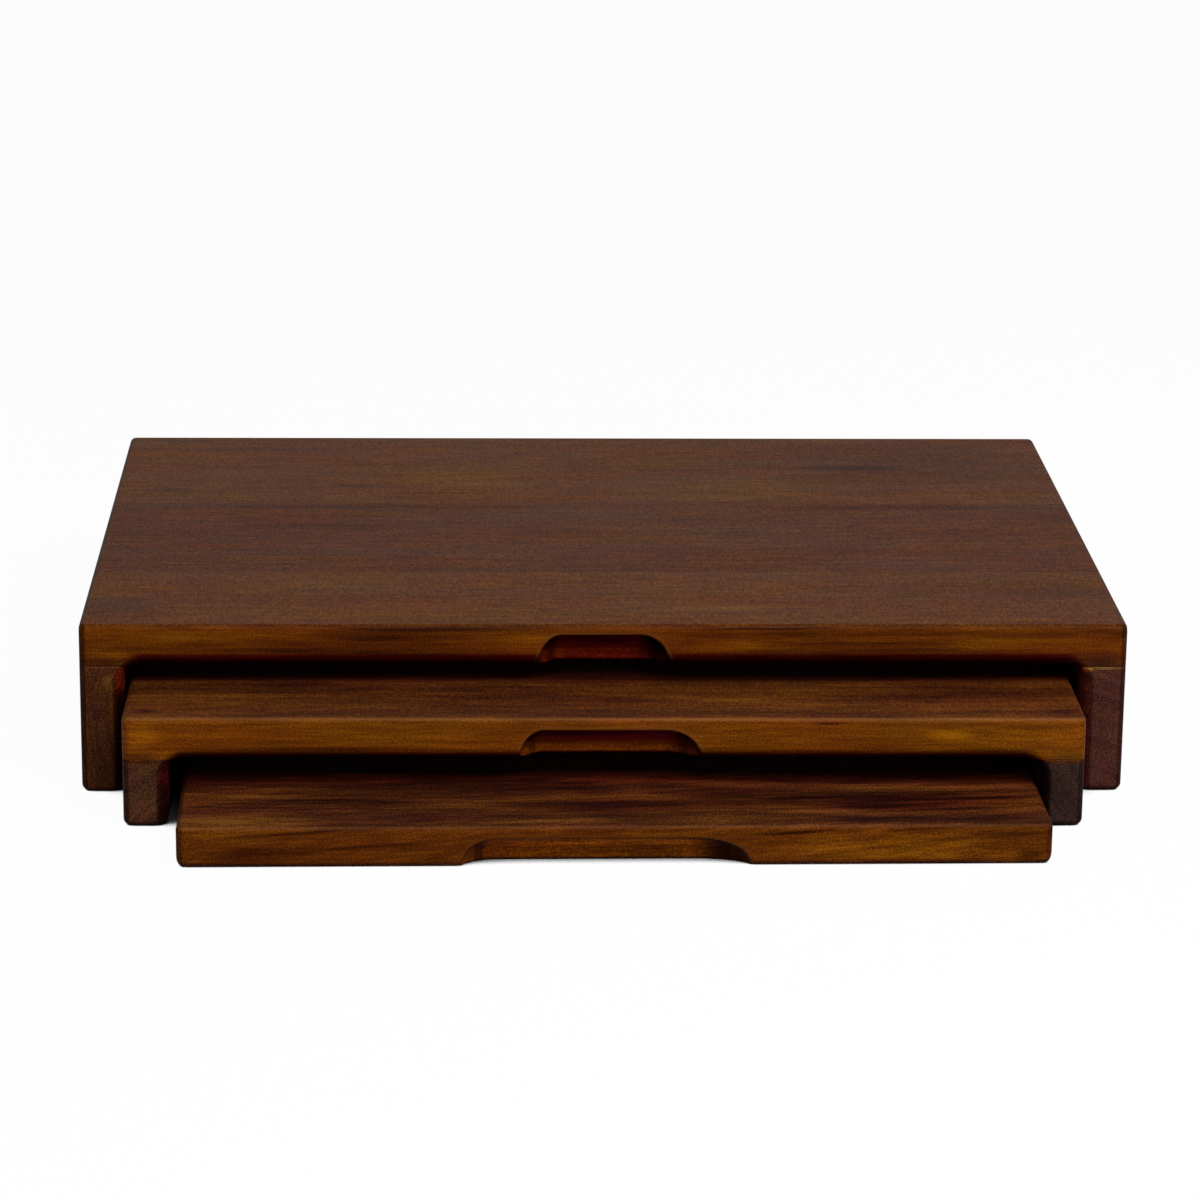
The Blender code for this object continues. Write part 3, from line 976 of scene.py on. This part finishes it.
def legTree():
    lengths = (
        "Inner face", "Outer face", "Depth", "Height", "Corner radius", "Foot radius", "Mouth radius",
        "Mouth corner radius", "Seam radius", "Pin radius", "Pin bottom", *staveSockets,
    )
    group, tree, given = newTree("legShape", lengths, {"Wood": "Material"})
    around, columns = legSteps["around"], 4 * legSteps["around"]
    footSteps, cornerSteps, seamSteps = legSteps["foot"], legSteps["corner"], legSteps["seam"]
    cornerStart = footSteps + legSteps["straight"]
    rows = cornerStart + cornerSteps + seamSteps + 1
    grid = tree.grow("MeshGrid", {"Vertices X": rows + 2, "Vertices Y": columns + 1})
    index = tree.grow("InputIndex")
    row = (index / (columns + 1)).math("FLOOR") - 1
    column = index.math("MODULO", columns + 1).math("MODULO", columns)
    quarter = (column / around).math("FLOOR")
    turn = column.math("MODULO", around) / (around - 1)
    odd = quarter.math("MODULO", 2)
    turn = (turn + odd - 2 * odd * turn) * (pi / 2)  # to and fro, so that the outline goes round
    turnSine, turnCosine = turn.math("SINE"), turn.math("COSINE")
    inner = quarter.below(1.5)
    atBack = abs(quarter - 1.5).below(1)
    footTurn = row.share(0, footSteps) * (pi / 2)
    seamTurn = row.share(rows - 1 - seamSteps, seamSteps) * (pi / 2)
    foot, corner, seam = given["Foot radius"], given["Mouth corner radius"], given["Seam radius"]
    height = (
        foot * (1 - footTurn.math("COSINE"))
        + (given["Height"] - corner - foot) * row.share(footSteps, legSteps["straight"])
        + (corner - seam) * row.share(cornerStart, cornerSteps)
        + seam * seamTurn.math("SINE")
    )
    shrink = foot * (1 - footTurn.math("SINE")) + seam * (1 - seamTurn.math("COSINE"))
    radius = given["Corner radius"] + (given["Mouth radius"] - given["Corner radius"]) * inner
    inward = radius * (1 - turnCosine) + shrink * turnCosine
    rounding = corner * inner
    rise = (height - given["Height"] + corner).atLeast(0) * inner
    swing = ((rounding + radius * (1 - turnSine)) ** 2 - rise ** 2).atLeast(0).math("SQRT")
    sideways = (swing - rounding).atLeast(0) + shrink * turnSine
    outward = (given["Outer face"] - given["Inner face"]).math("SIGN")
    innerX = given["Inner face"] + outward * sideways
    outerX = given["Outer face"] - outward * sideways
    x = outerX + (innerX - outerX) * inner
    y = (given["Depth"] / 2 - inward) * (2 * atBack - 1)
    middleX = (given["Inner face"] + given["Outer face"]) / 2
    capped = row.below(-0.5) + row.above(rows - 0.5)
    shape = tree.moved(grid, tree.join(x + (middleX - x) * capped, y * (1 - capped), height))
    shape = tree.grow("MergeByDistance", {"Geometry": shape, "Distance": legSteps["weld"]})
    holes = tree.grow("MeshLine", {"Count": len(stavePlaces)})
    holes = tree.moved(holes, tree.join(middleX, staveMiddle(given, index), given["Height"]))
    deep = 2 * (given["Height"] - given["Pin bottom"])
    holeInputs = {"Vertices": pins["holeSides"], "Radius": given["Pin radius"], "Depth": deep}
    hole = tree.grow("MeshCylinder", holeInputs)
    holes = tree.grow("InstanceOnPoints", {"Points": holes, "Instance": hole})
    holes = tree.grow("RealizeInstances", {"Geometry": holes})
    cut = {"operation": "DIFFERENCE", "solver": "EXACT"}
    bored = tree.grow("MeshBoolean", {"Mesh 1": shape, "Mesh 2": holes}, cut)
    closeTree(tree, bored, given["Wood"])
    return group


def grownBy(name, group, values):
    # A plain mesh from a tree, with its inputs set by their identifiers before it is first evaluated
    item = bpy.data.objects.new(name, bpy.data.meshes.new(name))
    modifier = item.modifiers.new("Grow", "NODES")
    modifier.node_group = group
    for socket in group.interface.items_tree:
        if socket.in_out == "INPUT":
            modifier[socket.identifier] = values[socket.name]
    scene.collection.objects.link(item)
    evaluated(item)
    return item


plainLeg = {
    "grainAlong": "y",
    "ringWidth": 3.0,
    "wobble": 8,
    "ringShare": 0.8,
    "fibreShare": 0.5,
    "streakShare": 0.3,
    "cloudShare": 0.4,
    "speckleShare": 1.4,
    # Painted shade on the side that looks at the next board
    "innerFacePaintedLight": (0.4, 0.16, 0.2),
    # A painted highlight with some wear on the upper front edges, at the seam
    "wearAndHighlight": (96, 60, 32),
    "specular": 0.02,
}

legLooks = {
    "outer_leg_left": {
        "seed": 31.5,
        "pith": (-160, 34),
        "colours": ((30, 15, 7), (64, 31, 13), (82, 44, 19), (104, 62, 26)),
        # Painted light near the top of the inner side, where light comes in over the middle board
        "gapPaintedLight": {"from": 43, "to": 50, "tint": (8.0, 6.0, 4.0)},
        # The first mark is painted light on the upper right of the front, where light passes over the middle
        # board; the second is darker and cooler
        "marks": (((-217, -165, 50), (4, 6, 7), 0.2, 0.7), ((-222, -165, 36), (4, 6, 5), -0.1, -1.0)),
        # A painted highlight along the top edge at the seam
        "patches": (((-219, -165, 57.2), (12, 8, 0.45), (1.5, 1.6, 2.6), 0.6),),
    },
    "outer_leg_right": {
        "seed": 36.7,
        "pith": (190, -60),
        "colours": ((37, 17, 11), (62, 32, 23), (75, 42, 29), (90, 55, 34)),
        "seam": 0.0006,
        # Painted light on the inner side, stronger near its top
        "innerFacePaintedLight": (1.5, 0.9, 1.0),
        "gapPaintedLight": {"from": 35, "to": 50, "tint": (1.8, 1.5, 1.4)},
        # Painted highlights along the top edge at the seam, brightest at its inner end
        "patches": (
            ((219, -165, 56.5), (13, 8, 0.7), (2.2, 3.0, 1.7), 0.6),
            ((210.5, -165, 55.8), (4, 8, 1.3), (2.4, 2.2, 1.2), 0.6),
        ),
    },
    "middle_leg_left": {
        "seed": 41.9,
        "pith": (-130, -70),
        "colours": ((30, 15, 8), (62, 34, 20), (78, 46, 26), (94, 60, 34)),
        # Painted light on the inner side, where light comes in over the inner board
        "gapPaintedLight": {"from": 15, "to": 22, "tint": (3.5, 2.2, 2.5)},
        "patches": (((-197, -165, 29.2), (14, 8, 1.3), (0.7, 0.45, 0.15), 0.3),),
    },
    "middle_leg_right": {
        "seed": 46.1,
        "pith": (240, 40),
        "colours": ((20, 12, 10), (42, 26, 22), (54, 36, 29), (68, 48, 38)),
        # A painted highlight along the top edge at the seam
        "patches": (((197, -165, 30), (14, 8, 2.0), (2.0, 1.2, 0.35), 0.5),),
    },
}
legGroup = legTree()
for boardName in ("outer", "middle"):
    board = boards[boardName]
    for side, way in (("left", -1), ("right", 1)):
        name = f"{boardName}_leg_{side}"
        look = {**plainLeg, "inwards": -way, **legLooks[name]}
        material = woodMaterial(name + "_oiled", look, board)
        sizes = {
            "Inner face": way * (board["width"] / 2 - legThickness),
            "Outer face": way * board["width"] / 2,
            "Depth": depth,
            "Height": board["bottom"],
            "Corner radius": edges["corner"],
            "Foot radius": edges["foot"],
            "Mouth radius": edges["mouth"],
            "Mouth corner radius": edges["mouthCorner"],
            "Seam radius": look.get("seam", edges["seam"]),
            "Pin radius": pins["holeRadius"],
            "Pin bottom": board["bottom"] - pins["inLeg"] - pins["endRoom"],
            **board["staveMiddles"],
            "Wood": material,
        }
        item = grownBy(name + "_wood", legGroup, sizes)
        finishPiece(item, board, material, "leg_wood", name)
print("legs built")


# The hidden dowels: fluted pins, one instance for each place

pinMesh = {"sides": 72, "rows": 12}


def pinTree():
    lengths = ("Radius", "Length", "Chamfer", "Flute depth", "Reach", "Middle height", *staveSockets)
    group, tree, given = newTree("flutedPins", lengths, {"Flutes": "Int", "Wood": "Material"})
    rounds = {"Vertices": pinMesh["sides"], "Side Segments": pinMesh["rows"]}
    bar = tree.grow("MeshCylinder", {**rounds, "Radius": given["Radius"], "Depth": given["Length"]})
    x, y, z = tree.split(tree.grow("InputPosition"))
    flute = (y.math("ARCTAN2", x) * given["Flutes"]).math("COSINE") * 0.5 + 0.5
    fromEnd = given["Length"] / 2 - abs(z)
    straight = fromEnd.above(given["Chamfer"])
    slim = given["Chamfer"] * (1 - straight) + given["Flute depth"] * flute ** 4 * straight
    share = 1 - slim / given["Radius"]
    bar = tree.moved(bar, tree.join(x * share, y * share, z))
    spots = tree.grow("MeshLine", {"Count": 2 * len(stavePlaces)})
    index = tree.grow("InputIndex")
    side = index.math("MODULO", 2) * 2 - 1
    spotY = staveMiddle(given, (index / 2).math("FLOOR"))
    spots = tree.moved(spots, tree.join(given["Reach"] * side, spotY, given["Middle height"]))
    placed = tree.grow("InstanceOnPoints", {"Points": spots, "Instance": bar})
    closeTree(tree, placed, given["Wood"])
    return group


pinLook = {
    "grainAlong": "y",
    "inwards": 1,
    "seed": 50.5,
    "pith": (60, 30),
    "ringWidth": 2.0,
    "wobble": 6,
    "ringShare": 0.5,
    "fibreShare": 0.4,
    "streakShare": 0.3,
    "cloudShare": 0.4,
    "speckleShare": 0.3,
    "poreShare": 0.4,
    "colours": ((150, 110, 70), (190, 150, 104), (206, 170, 122), (220, 188, 142)),
    # A painted highlight with some wear on the pins' upper front edges
    "wearAndHighlight": (220, 190, 150),
    "specular": 0.1,
}
pinGroup = pinTree()
pinMaterial = woodMaterial("palePin", pinLook, boards["outer"])
for boardName in ("outer", "middle"):
    board = boards[boardName]
    bottom = board["bottom"] - pins["inLeg"]
    top = board["top"] - pins["woodOver"]
    sizes = {
        "Radius": pins["radius"],
        "Length": top - bottom,
        "Chamfer": pins["chamfer"],
        "Flute depth": pins["fluteDepth"],
        "Reach": board["legMiddle"],
        "Middle height": (top + bottom) / 2,
        **board["staveMiddles"],
        "Flutes": pins["flutes"],
        "Wood": pinMaterial,
    }
    item = grownBy(boardName + "_fluted_pins", pinGroup, sizes)
    nodes = [f"{boardName}_dowel_{side}_{place}" for side in ("left", "right") for place in stavePlaces]
    finishPiece(item, board, pinMaterial, "dowel_wood", *nodes)
print("pins built")


# Floor, light and camera

studio = {
    "lamps": {
        "keyLamp": {"place": (0.62, -1.25, 1.62), "size": (1.9, 1.0), "power": 58},
        "frontLamp": {"place": (0.5, -2.4, 0.75), "size": (1.8, 0.6), "power": 3},
    },
    "lampTarget": (0, 0, 0.04),
    "worldGrey": 0.05,
    "floorReach": (-6, 6),
    "floorGrey": 0.7,
    "shadowGrey": 0.8,
    "shadowShare": 0.035,
    # The floor's painted shade near and under the wood comes from ambient occlusion, not from the lamps
    "nookReach": 0.06,  # how far the floor looks for wood standing over it
    "nookSamples": 16,
    "nookShade": (0.17, 0.33),  # black up to the first openness, white from the second
}


def grey(value):
    return (value, value, value, 1)


def seenStraight(tree):  # 1 where the camera sees a thing itself or mirrored, 0 where it only lights others
    rays = tree.node("ShaderNodeLightPath").socket.node.outputs
    kinds = ("Camera", "Glossy", "Transmission")
    camera, glossy, through = (Wire(tree, rays[f"Is {kind} Ray"]) for kind in kinds)
    return camera.atLeast(glossy).atLeast(through)


low, high = studio["floorReach"]
floorMesh = bpy.data.meshes.new("floor")
floorMesh.from_pydata([(low, low, 0), (high, low, 0), (high, high, 0), (low, high, 0)], [], [(0, 1, 2, 3)])
floor = bpy.data.objects.new("floor", floorMesh)
scene.collection.objects.link(floor)
floorMaterial = bpy.data.materials.new("paleFloor")
floorMaterial.use_nodes = True
floorMaterial.node_tree.nodes.clear()
tree = Tree(floorMaterial.node_tree)
matt = tree.node("ShaderNodeBsdfDiffuse", inputs={"Color": grey(studio["floorGrey"])})
shaded = tree.node("ShaderNodeBsdfDiffuse", inputs={"Color": grey(studio["shadowGrey"])})
samples = {"samples": studio["nookSamples"]}
# Painted shade: to the camera the floor glows white, dimmed by ambient occlusion near and under the wood;
# only the shadow share is lamp shading
openness = tree.node("ShaderNodeAmbientOcclusion", samples, {"Distance": studio["nookReach"]}, "AO")
strength = openness.between(*studio["nookShade"])
glow = tree.node("ShaderNodeEmission", inputs={"Color": grey(1), "Strength": strength})
seen = tree.node("ShaderNodeMixShader", inputs={0: studio["shadowShare"], 1: glow, 2: shaded})
surface = tree.node("ShaderNodeMixShader", inputs={0: seenStraight(tree), 1: matt, 2: seen})
tree.finish("ShaderNodeOutputMaterial", "Surface", surface)
floorMesh.materials.append(floorMaterial)

world = bpy.data.worlds.new("studio")
scene.world = world
world.use_nodes = True
world.node_tree.nodes.clear()
tree = Tree(world.node_tree)
ambient = tree.node("ShaderNodeBackground", inputs={"Color": grey(studio["worldGrey"])})
white = tree.node("ShaderNodeBackground", inputs={"Color": grey(1)})
sky = tree.node("ShaderNodeMixShader", inputs={0: seenStraight(tree), 1: ambient, 2: white})
tree.finish("ShaderNodeOutputWorld", "Surface", sky)

for name, facts in studio["lamps"].items():
    lamp = bpy.data.lights.new(name, "AREA")
    lamp.shape = "RECTANGLE"
    lamp.size, lamp.size_y = facts["size"]
    lamp.energy = facts["power"]
    item = bpy.data.objects.new(name, lamp)
    item.location = facts["place"]
    item.rotation_euler = (Vector(studio["lampTarget"]) - item.location).to_track_quat("-Z", "Y").to_euler()
    scene.collection.objects.link(item)

view = {
    "place": (-0.067705, -1.933116, 0.624291),
    "yaw": -0.035876,
    "pitch": 0.286959,
    "roll": 0.01051,
    "focalPixels": 4371.54,
    "imagePixels": 1200,
    "sensorWidth": 36,
}
camera = bpy.data.objects.new("camera", bpy.data.cameras.new("camera"))
camera.data.sensor_width = view["sensorWidth"]
camera.data.lens = view["focalPixels"] * view["sensorWidth"] / view["imagePixels"]
stand = Matrix.Translation(view["place"])
for angle, axis in ((view["yaw"], "Z"), (pi / 2 - view["pitch"], "X"), (view["roll"], "Z")):
    stand = stand @ Matrix.Rotation(angle, 4, axis)
camera.matrix_world = stand
scene.collection.objects.link(camera)
scene.camera = camera
scene.view_settings.view_transform = "Standard"
print("floor, lamps and camera set")

bpy.context.view_layer.update()
